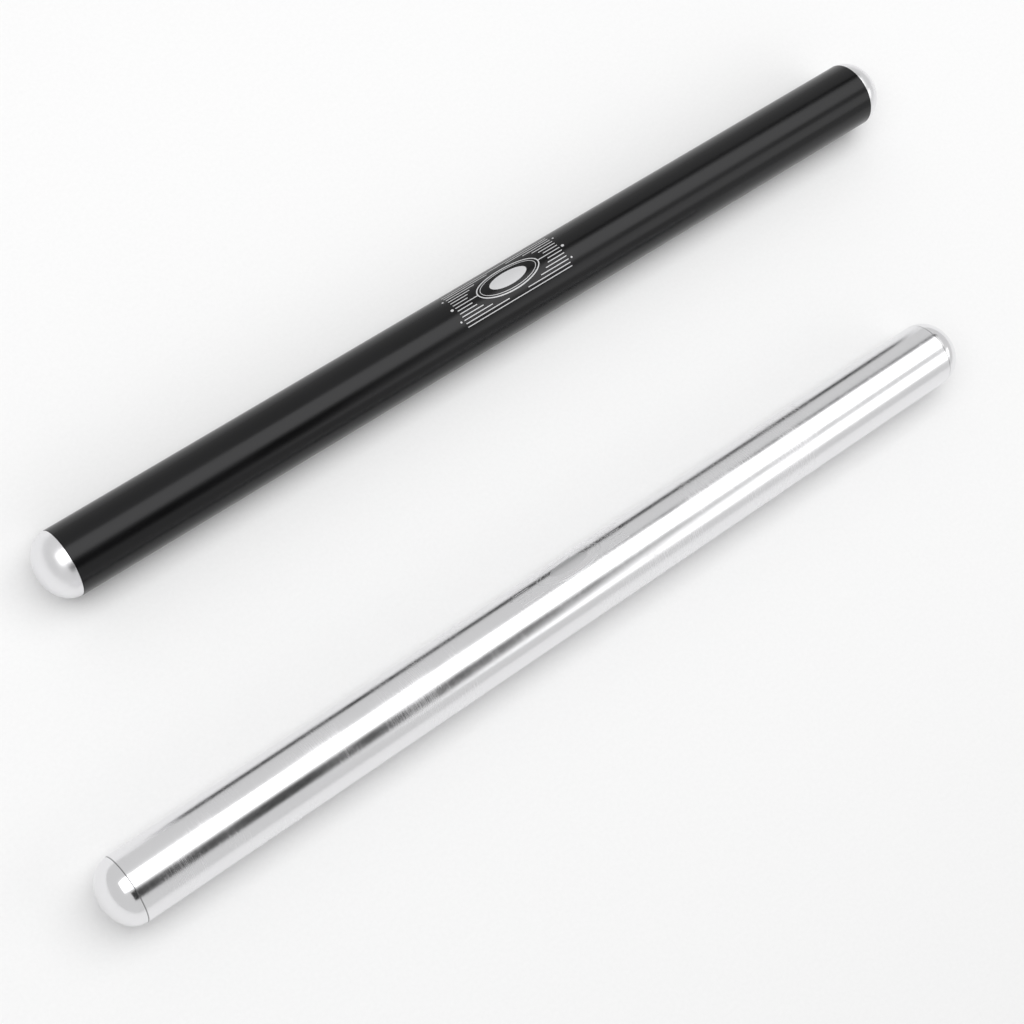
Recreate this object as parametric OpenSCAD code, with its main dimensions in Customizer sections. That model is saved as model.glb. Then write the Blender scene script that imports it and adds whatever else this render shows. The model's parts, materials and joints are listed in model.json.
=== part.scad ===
// Matched pair of stage sticks, lying side by side: a black one and a polished one.
// Each stick is a tube with a threaded bush in each end and a domed cap that unscrews from it.
// X runs along the sticks and Z is up. The origin is on the floor, under the middle of the pair.

/* [Tube] */
// Outside diameter of each tube
tube_d = 20; // [18:0.5:26]
// Length of each tube, without its caps
tube_l = 290; // [200:1:400]
// Thickness of the tube's wall
tube_wall = 1.5; // [1.2:0.1:1.8]
// Size of the broken edge on each side of the seam between tube and cap
edge_break = 0.15; // [0.1:0.05:0.3]

/* [Cap] */
// How far each dome stands out from its tube
dome_h = 7.75; // [5:0.25:9]
// Length of the plain shoulder that runs in the tube's bore
shoulder_l = 6; // [5:0.5:8]
// Radial gap between the shoulder and the tube's bore
shoulder_gap = 0.08; // [0.05:0.01:0.1]

/* [Thread] */
// Nominal diameter of the thread
thread_d = 12; // [10:1:12]
// Pitch of the thread
pitch = 1.75; // [1.5:0.25:1.75]
// Length of the stud past the shoulder
stud_l = 12; // [10:1:16]
// Play between the stud's thread and the bush's
thread_gap = 0.12; // [0.1:0.01:0.15]

/* [Bush] */
// Length of each bush
bush_l = 14; // [12:1:20]
// Gap between the shoulder's end and the bush
bush_gap = 0.4; // [0.2:0.1:1]

/* [Seal] */
// Depth of the ring's groove below the tube's bore
groove_depth = 1.4; // [1.2:0.1:1.6]
// Width of the ring's groove
groove_w = 1.8; // [1.6:0.1:2.2]
// Gap left all round the seal ring in its groove
seal_gap = 0.04; // [0.02:0.01:0.06]

/* [Layout] */
// Distance between the two sticks' axes, across them
spread = 81.2; // [40:0.1:120]
// How far the black stick lies ahead of the silver one, along them
stagger = 34.2; // [0:0.1:60]

/* [Hidden] */

tube_r = tube_d / 2;
bore_r = tube_r - tube_wall;
shoulder_r = bore_r - shoulder_gap;
groove_r = bore_r - groove_depth;

// The middle of each stick, with its axis one radius above the floor
black_at = [stagger / 2, spread / 2, tube_r];
silver_at = [-stagger / 2, -spread / 2, tube_r];

// Thread form: a 60 degree profile, as steps from the nominal radius
thread_r = thread_d / 2;
core_r = thread_r - 0.6134 * pitch;
nut_crest_r = thread_r - 0.5413 * pitch + thread_gap;
nut_bore_r = thread_r + 0.05;
steps = 24;      // flats in one turn of a thread
fade_steps = 6;  // flats over which a thread rises from nothing at its ends
sunk = 0.2;      // how deep a thread's foot is set into the metal that carries it
chamfer = 1;     // lead-in on the stud's tip and on the bush's mouths
relief_l = 2;    // plain stretch between the shoulder and the stud's thread
centre_r = 1.25; // centre hole that the lathe leaves in the stud's tip

// Ring that the seal is a section of: midway between groove and bore
seal_section_r = groove_depth / 2 - seal_gap;
seal_ring_r = groove_r + groove_depth / 2;
groove_x = -shoulder_l / 2;

// Depths below the seam, at the right-hand end
stud_tip_x = -shoulder_l - stud_l;
bush_x = -shoulder_l - bush_gap;

overlap = 1; // how far a cutting shape runs past what it cuts

// A solid of revolution about X, from an outline given as [x, radius] points
module turned(outline) {
    rotate([0, 90, 0])
        rotate_extrude($fn = 128)
            polygon([for (p = outline) [p[1], p[0]]]);
}

// One corner of a thread's section, at angle a about X
function thread_corner(a, x, r) = [x, r * cos(a), r * sin(a)];

// A right-hand helical ridge about X, between two depths. Its foot is at foot_r and its crest at crest_r,
// and x = 0 on the helix is at angle 0. An inward ridge has its crest inside its foot.
module thread_ridge(x_from, x_to, foot_r, foot_w, crest_r, crest_w, phase) {
    first = ceil((x_from - phase) / pitch * steps);
    last = floor((x_to - phase) / pitch * steps);
    rings = last - first;
    lowest = 0.1;
    points = [
        for (i = [0:rings])
            let (
                a = 360 * (first + i) / steps,
                x = phase + pitch * (first + i) / steps,
                rise = max(lowest, min(1, min(i, rings - i) / fade_steps)),
                top_r = foot_r + (crest_r - foot_r) * rise,
                top_w = foot_w + (crest_w - foot_w) * rise
            )
            each [
                thread_corner(a, x - foot_w / 2, foot_r),
                thread_corner(a, x - top_w / 2, top_r),
                thread_corner(a, x + top_w / 2, top_r),
                thread_corner(a, x + foot_w / 2, foot_r)
            ]
    ];
    walls = [
        for (i = [0:rings - 1], j = [0:3])
            let (here = 4 * i + j, beside = 4 * i + (j + 1) % 4)
            each [[here, beside, beside + 4], [here, beside + 4, here + 4]]
    ];
    ends = [[3, 2, 1, 0], [for (j = [0:3]) 4 * rings + j]];
    faces = concat(walls, ends);
    outward = crest_r > foot_r;
    polyhedron(points, outward ? faces : [for (f = faces) [for (k = [len(f) - 1:-1:0]) f[k]]]);
}

// Half of the dome's outline, from the seam's broken edge to the pole: a quarter of an ellipse
dome_outline = [
    [0, tube_r - edge_break],
    for (a = [4:4:88]) [dome_h * sin(a), tube_r * cos(a)],
    [dome_h, 0]
];

// A tube with both outer edges broken, centred on the origin
module tube() {
    end = tube_l / 2;
    turned([
        [-end, bore_r],
        [-end, tube_r - edge_break],
        [-end + edge_break, tube_r],
        [end - edge_break, tube_r],
        [end, tube_r - edge_break],
        [end, bore_r]
    ]);
}

// The parts of one end are drawn with the seam at x = 0 and the dome towards +X

module end_bush() {
    mouth_r = nut_bore_r + chamfer / 2;
    union() {
        turned([
            [bush_x, bore_r],
            [bush_x, mouth_r],
            [bush_x - chamfer / 2, nut_bore_r],
            [bush_x - bush_l + chamfer / 2, nut_bore_r],
            [bush_x - bush_l, mouth_r],
            [bush_x - bush_l, bore_r]
        ]);
        thread_ridge(
            bush_x - bush_l + chamfer, bush_x - chamfer,
            nut_bore_r + sunk, 0.92 * pitch, nut_crest_r, 0.32 * pitch, pitch / 2
        );
    }
}

module end_seal() {
    translate([groove_x, 0, 0])
        rotate([0, 90, 0])
            rotate_extrude($fn = 96)
                translate([seal_ring_r, 0])
                    circle(r = seal_section_r, $fn = 32);
}

module end_cap() {
    difference() {
        union() {
            turned(concat(
                [
                    [stud_tip_x, 0],
                    [stud_tip_x, core_r - chamfer],
                    [stud_tip_x + chamfer, core_r],
                    [-shoulder_l, core_r],
                    [-shoulder_l, shoulder_r - edge_break],
                    [-shoulder_l + edge_break, shoulder_r],
                    [groove_x - groove_w / 2, shoulder_r],
                    [groove_x - groove_w / 2, groove_r],
                    [groove_x + groove_w / 2, groove_r],
                    [groove_x + groove_w / 2, shoulder_r],
                    [0, shoulder_r]
                ],
                dome_outline
            ));
            thread_ridge(
                stud_tip_x + chamfer / 2, -shoulder_l - relief_l,
                core_r - sunk, 0.86 * pitch, thread_r - thread_gap, 0.1 * pitch, 0
            );
        }
        translate([stud_tip_x - overlap, 0, 0])
            rotate([0, 90, 0])
                cylinder(h = overlap + 2 * centre_r, r = centre_r, $fn = 32);
    }
}

// Puts a part of one end at the left or right end of a tube. Turning it keeps the thread right-handed.
module at_left() {
    translate([-tube_l / 2, 0, 0])
        rotate([0, 0, 180])
            children();
}

module at_right() {
    translate([tube_l / 2, 0, 0])
        children();
}

module black_tube() {
    color("#242424")
        translate(black_at) tube();
}

module silver_tube() {
    color("#dcdddf")
        translate(silver_at) tube();
}

module bushes_colour() {
    color("#c8a24a") children();
}

module seals_colour() {
    color("#161616") children();
}

module caps_colour() {
    color("#d5d6d8") children();
}

module black_left_bush() {
    bushes_colour() translate(black_at) at_left() end_bush();
}

module black_right_bush() {
    bushes_colour() translate(black_at) at_right() end_bush();
}

module black_left_seal() {
    seals_colour() translate(black_at) at_left() end_seal();
}

module black_right_seal() {
    seals_colour() translate(black_at) at_right() end_seal();
}

module black_left_cap() {
    caps_colour() translate(black_at) at_left() end_cap();
}

module black_right_cap() {
    caps_colour() translate(black_at) at_right() end_cap();
}

module silver_left_bush() {
    bushes_colour() translate(silver_at) at_left() end_bush();
}

module silver_right_bush() {
    bushes_colour() translate(silver_at) at_right() end_bush();
}

module silver_left_seal() {
    seals_colour() translate(silver_at) at_left() end_seal();
}

module silver_right_seal() {
    seals_colour() translate(silver_at) at_right() end_seal();
}

module silver_left_cap() {
    caps_colour() translate(silver_at) at_left() end_cap();
}

module silver_right_cap() {
    caps_colour() translate(silver_at) at_right() end_cap();
}

black_tube();
black_left_bush();
black_right_bush();
black_left_seal();
black_right_seal();
black_left_cap();
black_right_cap();
silver_tube();
silver_left_bush();
silver_right_bush();
silver_left_seal();
silver_right_seal();
silver_left_cap();
silver_right_cap();
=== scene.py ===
import json
import math

import bpy
from mathutils import Matrix, Vector


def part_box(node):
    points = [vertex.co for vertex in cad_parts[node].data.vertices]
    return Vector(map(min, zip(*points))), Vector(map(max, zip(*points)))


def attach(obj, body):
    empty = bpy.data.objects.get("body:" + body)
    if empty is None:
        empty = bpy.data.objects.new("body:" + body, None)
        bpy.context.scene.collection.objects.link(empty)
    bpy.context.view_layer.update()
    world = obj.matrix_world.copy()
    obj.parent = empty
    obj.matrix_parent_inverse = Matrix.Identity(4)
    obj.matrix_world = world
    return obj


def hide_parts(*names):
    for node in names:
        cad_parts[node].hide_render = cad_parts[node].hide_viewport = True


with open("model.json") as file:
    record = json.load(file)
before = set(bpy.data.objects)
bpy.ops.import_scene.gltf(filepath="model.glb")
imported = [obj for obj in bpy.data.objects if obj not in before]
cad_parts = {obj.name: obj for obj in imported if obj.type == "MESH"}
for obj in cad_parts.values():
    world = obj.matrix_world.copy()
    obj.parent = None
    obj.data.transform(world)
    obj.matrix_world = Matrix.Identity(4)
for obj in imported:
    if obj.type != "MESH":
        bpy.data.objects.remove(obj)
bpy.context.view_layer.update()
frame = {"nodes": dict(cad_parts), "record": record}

# ---------------------------------------------------------------------------
# Sizes, in metres. What the frame holds is measured from it.
# ---------------------------------------------------------------------------

MM = 0.001
STICKS = ("black", "silver")
ENDS = ("left", "right")

tube_low, tube_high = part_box("black_tube")
cap_low, cap_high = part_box("black_right_cap")
bush_low, bush_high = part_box("black_right_bush")
seal_low, seal_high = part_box("black_right_seal")

tube_r = (tube_high.z - tube_low.z) / 2
tube_l = tube_high.x - tube_low.x
bore_r = (bush_high.z - bush_low.z) / 2
dome_h = cap_high.x - tube_high.x
edge_break = 0.15 * MM
cap_inset = 0.12 * MM

# Depths below the seam between tube and cap, as negative places along the stick
stud_tip_x = cap_low.x - tube_high.x
bush_x = bush_high.x - tube_high.x
bush_end_x = bush_low.x - tube_high.x
groove_x = (seal_low.x + seal_high.x) / 2 - tube_high.x
groove_w = 1.8 * MM
shoulder_x = -6 * MM
shoulder_r = bore_r - 0.08 * MM
groove_r = bore_r - 1.4 * MM

# The thread's pitch is the axial travel of one turn
pitch = frame["record"]["behaviour"]["couplings"][0]["ratio"] * 2 * math.pi
thread_r = 6 * MM
core_r = thread_r - 0.6134 * pitch
nut_crest_r = thread_r - 0.5413 * pitch + 0.12 * MM
nut_bore_r = thread_r + 0.05 * MM
stud_crest_r = thread_r - 0.12 * MM
relief_l = 2 * MM
chamfer = 1 * MM
centre_r = 1.25 * MM


def stick_axis(stick):
    """The middle of a stick, on its axis."""
    low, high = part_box(stick + "_tube")
    return (low + high) / 2


# ---------------------------------------------------------------------------
# Mesh makers
# ---------------------------------------------------------------------------


def mesh_object(name, verts, faces, material, sharp=28):
    """A smooth-shaded mesh whose edges are sharp past an angle in degrees."""
    mesh = bpy.data.meshes.new(name)
    mesh.from_pydata(verts, [], faces)
    mesh.validate()
    mesh.materials.append(material)
    mesh.polygons.foreach_set("use_smooth", [True] * len(mesh.polygons))
    mesh.set_sharp_from_angle(angle=math.radians(sharp))
    mesh.update()
    obj = bpy.data.objects.new(name, mesh)
    bpy.context.scene.collection.objects.link(obj)
    return obj


def turned(name, outline, place, material, around=192, ring=False):
    """A closed body turned about X, from (x, radius) pairs that run from low x to high x outside.

    A radius may be a function of x and of the angle, for a thread. A ring's outline is a closed loop, and any
    other outline starts and ends on the axis. place puts the body in the row frame."""
    verts, rows = [], []
    for x, radius in outline:
        if radius == 0:
            rows.append([len(verts)] * around)
            verts.append(place @ Vector((x, 0, 0)))
            continue
        rows.append(list(range(len(verts), len(verts) + around)))
        for j in range(around):
            a = math.tau * j / around
            r = radius(x, a) if callable(radius) else radius
            verts.append(place @ Vector((x, r * math.cos(a), r * math.sin(a))))
    faces = []
    pairs = list(zip(rows, rows[1:] + rows[:1])) if ring else list(zip(rows, rows[1:]))
    for here, beyond in pairs:
        for j in range(around):
            k = (j + 1) % around
            loop = (here[j], beyond[j], beyond[k], here[k])
            faces.append([v for i, v in enumerate(loop) if v not in loop[:i]])
    if place.determinant() > 0:
        faces = [face[::-1] for face in faces]
    return mesh_object(name, verts, faces, material)


def rounded(corner, before, after, size, steps=3):
    """Points of a small arc that takes the place of a corner of an outline."""
    corner = Vector(corner)
    start = corner + (Vector(before) - corner).normalized() * size
    end = corner + (Vector(after) - corner).normalized() * size
    points = []
    for i in range(steps + 1):
        t = i / steps
        points.append(tuple((1 - t) ** 2 * start + 2 * t * (1 - t) * corner + t**2 * end))
    return points


def thread_profile(x_from, x_to, foot_r, crest_r, crest_share, phase):
    """Radius of a right-hand thread at a place and angle. crest_share is the crest's width as a share of the
    pitch; the thread rises over a quarter of a turn at each end."""
    flank = 0.36

    def radius(x, angle):
        turn = (x - phase) / pitch - angle / math.tau
        off = abs(turn - round(turn))
        height = 1 - min(1, max(0, (off - crest_share / 2) / flank))
        run_in = min(1, max(0, min(x - x_from, x_to - x) / (0.4 * pitch)))
        return foot_r + (crest_r - foot_r) * height * run_in

    return radius


def thread_stations(x_from, x_to, radius, step=0.0875 * MM):
    count = round((x_to - x_from) / step)
    return [(x_from + (x_to - x_from) * i / count, radius) for i in range(count + 1)]


# ---------------------------------------------------------------------------
# Materials
# ---------------------------------------------------------------------------


def new_material(name):
    material = bpy.data.materials.new(name)
    material.use_nodes = True
    nodes, links = material.node_tree.nodes, material.node_tree.links
    return material, nodes, links, nodes["Principled BSDF"]


def math_node(nodes, links, operation, *values):
    node = nodes.new("ShaderNodeMath")
    node.operation = operation
    for i, value in enumerate(values):
        if isinstance(value, (int, float)):
            node.inputs[i].default_value = value
        else:
            links.new(value, node.inputs[i])
    return node.outputs[0]


def remap(nodes, links, value, low, high, to_low, to_high):
    node = nodes.new("ShaderNodeMapRange")
    links.new(value, node.inputs["Value"])
    for name, number in (("From Min", low), ("From Max", high), ("To Min", to_low), ("To Max", to_high)):
        node.inputs[name].default_value = number
    return node.outputs["Result"]


def noise(nodes, links, vector, scale, stretch=(1, 1, 1), detail=4.0, roughness=0.55):
    """Noise over a vector of places in metres, with scale as features a metre."""
    mapping = nodes.new("ShaderNodeMapping")
    mapping.inputs["Scale"].default_value = [scale * s for s in stretch]
    links.new(vector, mapping.inputs["Vector"])
    node = nodes.new("ShaderNodeTexNoise")
    node.inputs["Scale"].default_value = 1.0
    node.inputs["Detail"].default_value = detail
    node.inputs["Roughness"].default_value = roughness
    links.new(mapping.outputs["Vector"], node.inputs["Vector"])
    return node.outputs["Fac"]


def tint(nodes, links, shader, value, low, high, dark, light):
    """Base colour that goes from dark to light as a value goes from low to high."""
    ramp = nodes.new("ShaderNodeValToRGB")
    ramp.color_ramp.elements[0].color = (*dark, 1)
    ramp.color_ramp.elements[1].color = (*light, 1)
    links.new(remap(nodes, links, value, low, high, 0, 1), ramp.inputs["Fac"])
    links.new(ramp.outputs["Color"], shader.inputs["Base Color"])


def bump(nodes, links, shader, height, distance, strength=1.0):
    node = nodes.new("ShaderNodeBump")
    node.inputs["Strength"].default_value = strength
    node.inputs["Distance"].default_value = distance
    links.new(height, node.inputs["Height"])
    links.new(node.outputs["Normal"], shader.inputs["Normal"])


def lathe_place(nodes, links, axis):
    """Where a point is for marks that run round a stick: (x plus its distance from the axis, y, z)."""
    place = nodes.new("ShaderNodeTexCoord").outputs["Object"]
    shift = nodes.new("ShaderNodeVectorMath")
    shift.operation = "SUBTRACT"
    links.new(place, shift.inputs[0])
    shift.inputs[1].default_value = (0, axis.y, axis.z)
    parts = nodes.new("ShaderNodeSeparateXYZ")
    links.new(shift.outputs["Vector"], parts.inputs[0])
    y_squared = math_node(nodes, links, "MULTIPLY", parts.outputs["Y"], parts.outputs["Y"])
    z_squared = math_node(nodes, links, "MULTIPLY", parts.outputs["Z"], parts.outputs["Z"])
    from_axis = math_node(nodes, links, "SQRT", math_node(nodes, links, "ADD", y_squared, z_squared))
    along = math_node(nodes, links, "ADD", parts.outputs["X"], from_axis)
    joined = nodes.new("ShaderNodeCombineXYZ")
    links.new(along, joined.inputs["X"])
    links.new(parts.outputs["Y"], joined.inputs["Y"])
    links.new(parts.outputs["Z"], joined.inputs["Z"])
    return joined.outputs[0]


def turned_metal(name, axis, colour, roughness, streaks, seam=0.0):
    """Metal with fine marks that run round a stick, as polishing on a lathe leaves them. streaks is how much
    rougher the marks are, and seam is how much painted shade darkens the joint between tube and cap, from 0
    to 1;
    the painted shade stands in for the crevice's shadow, with a little grime."""
    material, nodes, links, shader = new_material(name)
    shader.inputs["Metallic"].default_value = 1.0
    place = lathe_place(nodes, links, axis)
    fine = noise(nodes, links, place, 5200, (1, 0.02, 0.02), 2.0, 0.6)
    broad = noise(nodes, links, place, 2800, (1, 0.06, 0.06), 3.0, 0.6)
    cloudy = noise(nodes, links, place, 70, (0.6, 1, 1), 4.0, 0.6)
    marks = math_node(nodes, links, "MULTIPLY", math_node(nodes, links, "ADD", fine, broad), cloudy)

    # Painted shade along the joints, darkening the base colour: the crevice's shadow, with a little grime
    painted_seam_shade = math_node(nodes, links, "MULTIPLY", seam_shade_mask(nodes, links, axis), seam)
    unshaded = math_node(nodes, links, "SUBTRACT", 1.0, painted_seam_shade)
    shade = math_node(nodes, links, "MULTIPLY", remap(nodes, links, marks, 0.3, 0.7, 0.985, 1.0), unshaded)
    tint(nodes, links, shader, shade, 0, 1, (0.0, 0.0, 0.0), colour)

    scratched = math_node(nodes, links, "POWER", remap(nodes, links, marks, 0.34, 0.75, 0, 1), 1.5)
    wear = math_node(nodes, links, "MULTIPLY", scratched, streaks)
    base = remap(nodes, links, cloudy, 0.3, 0.7, roughness * 0.9, roughness * 1.1)
    links.new(math_node(nodes, links, "ADD", base, wear), shader.inputs["Roughness"])
    bump(nodes, links, shader, math_node(nodes, links, "ADD", fine, broad), 0.0005 * MM)
    return material


def seam_shade_mask(nodes, links, axis):
    """Where painted shade darkens the joints between the tube and its caps: 1 at the joints, and 0 elsewhere.
    """
    parts = nodes.new("ShaderNodeSeparateXYZ")
    links.new(nodes.new("ShaderNodeTexCoord").outputs["Object"], parts.inputs[0])
    along = math_node(nodes, links, "SUBTRACT", parts.outputs["X"], axis.x)
    past = math_node(nodes, links, "SUBTRACT", math_node(nodes, links, "ABSOLUTE", along), tube_l / 2)
    off = math_node(nodes, links, "ABSOLUTE", past)
    return remap(nodes, links, off, 0.1 * MM, 0.2 * MM, 1, 0)


def black_anodised():
    """Satin black anodising: a dense black film with a fine, even grain."""
    material, nodes, links, shader = new_material("satin_black_anodising")
    shader.inputs["Specular IOR Level"].default_value = 0.34
    shader.inputs["Specular Tint"].default_value = (0.985, 0.985, 1.0, 1)
    place = nodes.new("ShaderNodeTexCoord").outputs["Object"]
    grain = noise(nodes, links, place, 5200, (0.5, 1, 1), 2.0, 0.6)
    cloudy = noise(nodes, links, place, 90, (0.4, 1, 1), 4.0, 0.6)
    tint(nodes, links, shader, cloudy, 0.3, 0.7, (0.0008, 0.0008, 0.0009), (0.0022, 0.0022, 0.0025))
    links.new(remap(nodes, links, cloudy, 0.3, 0.7, 0.2, 0.25), shader.inputs["Roughness"])
    bump(nodes, links, shader, grain, 0.004 * MM)
    return material


def engraved_metal(name, metallic, shade, roughness, grain_depth):
    """Bare metal left by engraving: pale, with a fine sparkle."""
    material, nodes, links, shader = new_material(name)
    shader.inputs["Metallic"].default_value = metallic
    place = nodes.new("ShaderNodeTexCoord").outputs["Object"]
    grain = noise(nodes, links, place, 6000, (1, 1, 1), 3.0, 0.6)
    tint(nodes, links, shader, grain, 0.3, 0.7, [0.9 * c for c in shade], shade)
    links.new(remap(nodes, links, grain, 0.3, 0.7, roughness, roughness * 1.3), shader.inputs["Roughness"])
    bump(nodes, links, shader, grain, grain_depth)
    return material


def machined_brass(axis):
    return turned_metal("machined_brass", axis, (0.66, 0.46, 0.17), 0.2, 0.12)


def seal_rubber():
    """Moulded black rubber with a dull, slightly dusty skin."""
    material, nodes, links, shader = new_material("moulded_black_rubber")
    place = nodes.new("ShaderNodeTexCoord").outputs["Object"]
    dust = noise(nodes, links, place, 1400, (1, 1, 1), 5.0, 0.65)
    tint(nodes, links, shader, dust, 0.35, 0.75, (0.008, 0.008, 0.008), (0.03, 0.03, 0.029))
    links.new(remap(nodes, links, dust, 0.3, 0.7, 0.5, 0.68), shader.inputs["Roughness"])
    bump(nodes, links, shader, dust, 0.02 * MM)
    return material


def studio_paper():
    """Plain pale studio paper."""
    material, nodes, links, shader = new_material("pale_studio_paper")
    place = nodes.new("ShaderNodeTexCoord").outputs["Object"]
    fibre = noise(nodes, links, place, 900, (1, 1, 1), 3.0, 0.6)
    tint(nodes, links, shader, fibre, 0.3, 0.7, (0.86, 0.86, 0.86), (0.88, 0.88, 0.88))
    shader.inputs["Roughness"].default_value = 0.9
    shader.inputs["Specular IOR Level"].default_value = 0.1
    return material


def black_card():
    """Matt black card that shades part of the set."""
    material, nodes, links, shader = new_material("matt_black_card")
    place = nodes.new("ShaderNodeTexCoord").outputs["Object"]
    fibre = noise(nodes, links, place, 300, (1, 1, 1), 3.0, 0.6)
    tint(nodes, links, shader, fibre, 0.3, 0.7, (0.03, 0.03, 0.03), (0.045, 0.045, 0.045))
    shader.inputs["Roughness"].default_value = 0.95
    shader.inputs["Specular IOR Level"].default_value = 0.1
    return material


# ---------------------------------------------------------------------------
# Pieces of a stick
# ---------------------------------------------------------------------------


def end_place(stick, end):
    """From one end's own frame, with the seam at x = 0 and the dome towards +X, to the row frame."""
    middle = stick_axis(stick)
    if end == "right":
        return Matrix.Translation(middle + Vector((tube_l / 2, 0, 0)))
    return Matrix.Translation(middle - Vector((tube_l / 2, 0, 0))) @ Matrix.Rotation(math.pi, 4, "Z")


def make_tube(stick, material):
    """Rings close to the ends keep the rounding there out of the long wall's shading."""
    end = tube_l / 2
    inner = 0.08 * MM
    ring_x = end - 1.25 * edge_break
    outline = [(-end, bore_r + inner)]
    outline += rounded((-end, tube_r), (-end, bore_r), (0, tube_r), edge_break)
    outline += [(-ring_x, tube_r), (ring_x, tube_r)]
    outline += rounded((end, tube_r), (0, tube_r), (end, bore_r), edge_break)
    outline += [(end, bore_r + inner), (end - inner, bore_r)]
    outline += [(ring_x, bore_r), (-ring_x, bore_r), (-end + inner, bore_r)]
    place = Matrix.Translation(stick_axis(stick))
    tube = turned(f"{stick}_tube_body", outline, place, material, 256, ring=True)
    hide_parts(f"{stick}_tube")
    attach(tube, f"{stick}_stick")


def dome_outline(steps=40):
    """From the seam to the pole: a quarter of an ellipse, just inside the tube's outline."""
    radius = tube_r - cap_inset
    points = rounded((0, radius), (0, bore_r), (edge_break, radius), edge_break * 0.8)
    first = math.asin(edge_break / dome_h)
    for i in range(steps):
        a = first + (math.pi / 2 - first) * i / steps
        points.append((dome_h * math.sin(a), radius * math.cos(a)))
    return points + [(dome_h, 0)]


def make_cap(stick, end, material):
    thread_from, thread_to = stud_tip_x + chamfer / 2, shoulder_x - relief_l
    profile = thread_profile(thread_from, thread_to, core_r, stud_crest_r, 0.12, 0)
    groove_low, groove_high = groove_x - groove_w / 2, groove_x + groove_w / 2
    lip = 0.1 * MM
    outline = [
        (stud_tip_x + 2 * centre_r, 0),
        (stud_tip_x + 1.2 * centre_r, centre_r),
        (stud_tip_x, centre_r * 1.25),
        (stud_tip_x, core_r - chamfer),
        (stud_tip_x + chamfer * 0.45, core_r - chamfer * 0.5),
    ]
    outline += thread_stations(thread_from, thread_to, profile)
    outline += rounded((shoulder_x, core_r), (thread_to, core_r), (shoulder_x, shoulder_r), 2 * lip)
    outline += rounded((shoulder_x, shoulder_r), (shoulder_x, core_r), (groove_low, shoulder_r), edge_break)
    outline += rounded((groove_low, shoulder_r), (shoulder_x, shoulder_r), (groove_low, groove_r), lip)
    outline += rounded((groove_low, groove_r), (groove_low, shoulder_r), (groove_high, groove_r), lip)
    outline += rounded((groove_high, groove_r), (groove_low, groove_r), (groove_high, shoulder_r), lip)
    outline += rounded((groove_high, shoulder_r), (groove_high, groove_r), (0, shoulder_r), lip)
    outline += [(0, shoulder_r)]
    outline += dome_outline()
    cap = turned(f"{stick}_{end}_cap_body", outline, end_place(stick, end), material)
    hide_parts(f"{stick}_{end}_cap")
    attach(cap, f"{stick}_{end}_end")


def make_bush(stick, end, material):
    """The bush's thread is cut half a pitch from the stud's, so that the two are in mesh."""
    mouth = chamfer / 2
    profile = thread_profile(bush_end_x + mouth, bush_x - mouth, nut_bore_r, nut_crest_r, 0.26, pitch / 2)
    outline = [(bush_end_x, nut_bore_r + mouth)]
    outline += rounded((bush_end_x, bore_r), (bush_end_x, nut_bore_r), (bush_x, bore_r), edge_break)
    outline += rounded((bush_x, bore_r), (bush_end_x, bore_r), (bush_x, nut_bore_r), edge_break)
    outline += [(bush_x, nut_bore_r + mouth)]
    outline += thread_stations(bush_end_x + mouth, bush_x - mouth, profile)[::-1]
    bush = turned(f"{stick}_{end}_bush_body", outline, end_place(stick, end), material, ring=True)
    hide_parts(f"{stick}_{end}_bush")
    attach(bush, f"{stick}_stick")


# ---------------------------------------------------------------------------
# The engraved band: a plain oval between ruled lines, inlaid a hair proud
# ---------------------------------------------------------------------------

band_half = 19.25 * MM
band_rows = 6
row_gap = 1.105 * MM
line_w = 0.26 * MM
oval_half = (11.2 * MM, 4.3 * MM)
oval_clear = (14.2 * MM, 5.7 * MM)
ring_w = 0.38 * MM
proud = 0.012 * MM
sunk = 0.06 * MM


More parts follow.
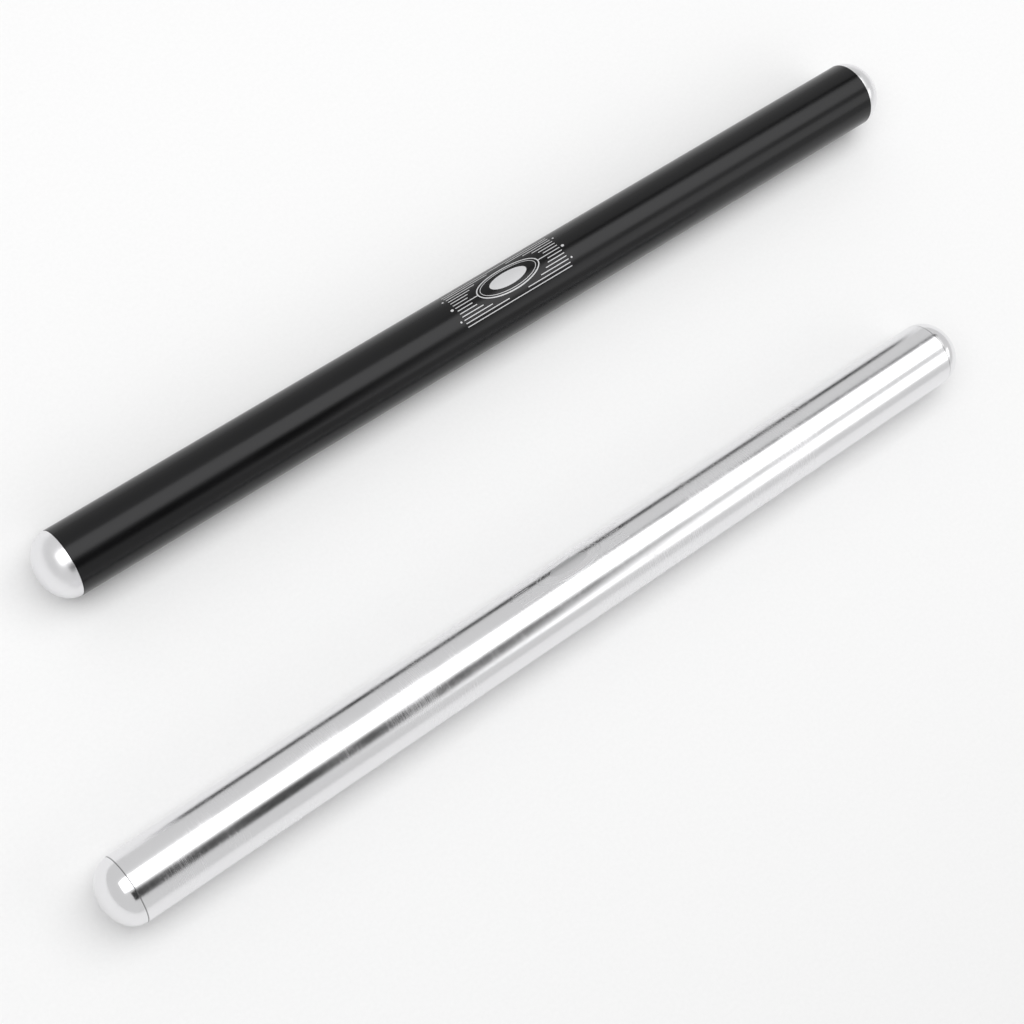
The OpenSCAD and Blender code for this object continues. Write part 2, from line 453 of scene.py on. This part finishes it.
class Inlay:
    """Collects thin closed pieces that follow the tube's surface.

    Places are (x, arc) in metres from the middle of the band."""

    def __init__(self, stick, band_x, band_angle):
        self.middle = stick_axis(stick)
        self.band_x = band_x
        self.band_angle = math.radians(band_angle)
        self.verts = []
        self.faces = []

    def point(self, x, arc, lift):
        a = self.band_angle + arc / tube_r
        r = tube_r + lift
        return self.middle + Vector((self.band_x + x, r * math.sin(a), r * math.cos(a)))

    def patch(self, rows, around=False):
        """A piece with rows of places, all of one length. around joins the last row to the first."""
        first, across, count = len(self.verts), len(rows[0]), len(rows)
        layer = across * count
        for lift in (proud, -sunk):
            self.verts += [self.point(x, arc, lift) for row in rows for x, arc in row]

        def top(i, j):
            return first + (i % count) * across + j

        for i in range(count if around else count - 1):
            for j in range(across - 1):
                face = [top(i, j), top(i + 1, j), top(i + 1, j + 1), top(i, j + 1)]
                self.faces += [face, [v + layer for v in face[::-1]]]
        edge = []
        for i in range(count if around else count - 1):
            edge += [(top(i + 1, 0), top(i, 0)), (top(i, across - 1), top(i + 1, across - 1))]
        if not around:
            for j in range(across - 1):
                edge += [(top(0, j), top(0, j + 1)), (top(count - 1, j + 1), top(count - 1, j))]
        self.faces += [[a, b, b + layer, a + layer] for a, b in edge]

    def bar(self, x_from, x_to, arc, width):
        rows = [[(x, arc - width / 2), (x, arc + width / 2)] for x in (x_from, x_to)]
        self.patch(rows)

    def oval_ring(self, half_x, half_arc, width, steps=96):
        rows = []
        for i in range(steps):
            a = math.tau * i / steps
            outer = (half_x * math.cos(a), half_arc * math.sin(a))
            inner = ((half_x - width) * math.cos(a), (half_arc - width) * math.sin(a))
            rows.append([inner, outer])
        self.patch(rows, around=True)

    def oval(self, x, arc, half_x, half_arc, steps=16):
        """A filled oval, as a square grid pressed into a round one."""
        rows = []
        for i in range(steps + 1):
            u = 2 * i / steps - 1
            row = []
            for j in range(steps + 1):
                v = 2 * j / steps - 1
                round_x, round_arc = u * math.sqrt(1 - v * v / 2), v * math.sqrt(1 - u * u / 2)
                row.append((x + half_x * round_x, arc + half_arc * round_arc))
            rows.append(row)
        self.patch(rows)


def make_band(stick, band_x, band_angle, material):
    inlay = Inlay(stick, band_x, band_angle)
    for row in range(-band_rows, band_rows + 1):
        arc = row * row_gap
        if abs(arc) >= oval_clear[1]:
            inlay.bar(-band_half, band_half, arc, line_w)
            continue
        reach = oval_half[0] if row == 0 else oval_clear[0] * math.sqrt(1 - (arc / oval_clear[1]) ** 2)
        for side in (-1, 1):
            inlay.bar(*sorted((side * reach, side * band_half)), arc, line_w)
    inlay.oval_ring(*oval_half, ring_w)
    inlay.oval_ring(oval_half[0] - 1.2 * MM, oval_half[1] - 0.75 * MM, ring_w / 2)
    inlay.oval(0, 0, 6.6 * MM, 2.3 * MM)
    for side in (-1, 1):
        inlay.oval(side * 20.4 * MM, 0, 0.5 * MM, 0.4 * MM, 8)
        for row in (-4, 4):
            inlay.oval(side * 20.4 * MM, row * row_gap, 0.3 * MM, 0.3 * MM, 8)
    band = mesh_object(f"{stick}_engraved_band", inlay.verts, inlay.faces, material)
    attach(band, f"{stick}_stick")


ALUMINIUM = (0.835, 0.833, 0.845)
# seam=0.5 gives the silver tube and caps painted shade at their joints, a crevice's shadow with a little
# grime
tube_metal = {
    "black": black_anodised(),
    "silver": turned_metal("polished_aluminium", stick_axis("silver"), ALUMINIUM, 0.2, 0.1, seam=0.5),
}
cap_metal = {
    "black": turned_metal("satin_aluminium", stick_axis("black"), ALUMINIUM, 0.3, 0.08),
    "silver": turned_metal("bright_aluminium", stick_axis("silver"), ALUMINIUM, 0.16, 0.08, seam=0.5),
}
engraved = {
    "black": engraved_metal("engraved_through_black", 0.25, (0.62, 0.62, 0.63), 0.45, 0.004 * MM),
    "silver": engraved_metal("engraved_on_bright", 1.0, (0.8, 0.8, 0.81), 0.32, 0.002 * MM),
}
rubber = seal_rubber()
band_place = {"black": (6.2 * MM, 17.8), "silver": (4.6 * MM, 39.0)}

for stick in STICKS:
    brass = machined_brass(stick_axis(stick))
    make_tube(stick, tube_metal[stick])
    make_band(stick, *band_place[stick], engraved[stick])
    for end in ENDS:
        make_cap(stick, end, cap_metal[stick])
        make_bush(stick, end, brass)
        frame["nodes"][f"{stick}_{end}_seal"].material_slots[0].material = rubber

# ---------------------------------------------------------------------------
# Studio: a pale floor, an evenly lit room, and two softboxes and two black cards hung level overhead
# ---------------------------------------------------------------------------

rig_height = 0.8
floor_size = (6.0, 6.0)
room_brightness = 0.7
main_brightness = 1.6
fill_brightness = 1.0


def level_sheet(name, centre, size, height, material):
    half_x, half_y = size[0] / 2, size[1] / 2
    corners = []
    for side_x, side_y in ((-1, -1), (1, -1), (1, 1), (-1, 1)):
        corners.append((centre[0] + side_x * half_x, centre[1] + side_y * half_y, height))
    mesh = bpy.data.meshes.new(name)
    mesh.from_pydata(corners, [], [[0, 1, 2, 3]])
    mesh.materials.append(material)
    sheet = bpy.data.objects.new(name, mesh)
    bpy.context.scene.collection.objects.link(sheet)
    return sheet


def softbox(name, centre, size, brightness):
    """A rectangular lamp that shines down. Its power grows with its brightness and its area."""
    lamp = bpy.data.lights.new(name, "AREA")
    lamp.shape = "RECTANGLE"
    lamp.size, lamp.size_y = size
    lamp.energy = brightness * math.pi * size[0] * size[1]
    light = bpy.data.objects.new(name, lamp)
    light.location = (centre[0], centre[1], rig_height)
    light.visible_camera = False
    bpy.context.scene.collection.objects.link(light)


def make_room(brightness):
    world = bpy.data.worlds.new("studio_room")
    bpy.context.scene.world = world
    world.use_nodes = True
    background = world.node_tree.nodes["Background"]
    background.inputs["Color"].default_value = (1, 1, 1, 1)
    background.inputs["Strength"].default_value = brightness


make_room(room_brightness)
level_sheet("studio_floor", (0, 0), floor_size, 0, studio_paper())
softbox("main_softbox", (0, 0.1), (1.6, 0.6), main_brightness)
softbox("fill_softbox", (1.1, -1.0), (1.2, 1.0), fill_brightness)
card_paper = black_card()
for card_name, card_centre, card_size in (
    ("near_card", (0, -0.6), (0.8, 0.6)),
    ("far_card", (0.9, 0.6), (0.8, 0.2)),
):
    level_sheet(card_name, card_centre, card_size, rig_height, card_paper).visible_camera = False

# ---------------------------------------------------------------------------
# Camera: a rolled three-quarter view from above. Metres, degrees, and millimetres for the lens.
# ---------------------------------------------------------------------------

view_target = Vector((-0.0139, -0.0126, 0.01))
view_distance = 0.6686
view_azimuth, view_elevation, view_roll = -74.90, 65.63, 40.76

camera_data = bpy.data.cameras.new("camera")
camera_data.sensor_width = 36
camera_data.lens = 83.72
camera_data.clip_start = 0.01
camera = bpy.data.objects.new("camera", camera_data)
bpy.context.scene.collection.objects.link(camera)
azimuth, elevation = math.radians(view_azimuth), math.radians(view_elevation)
back = Vector((
    math.sin(azimuth) * math.cos(elevation),
    -math.cos(azimuth) * math.cos(elevation),
    math.sin(elevation),
))
upright = (-back).to_track_quat("-Z", "Y").to_matrix().to_4x4()
roll = Matrix.Rotation(math.radians(view_roll), 4, "Z")
camera.matrix_world = Matrix.Translation(view_target + back * view_distance) @ upright @ roll
bpy.context.scene.camera = camera
bpy.context.scene.view_settings.view_transform = "Standard"
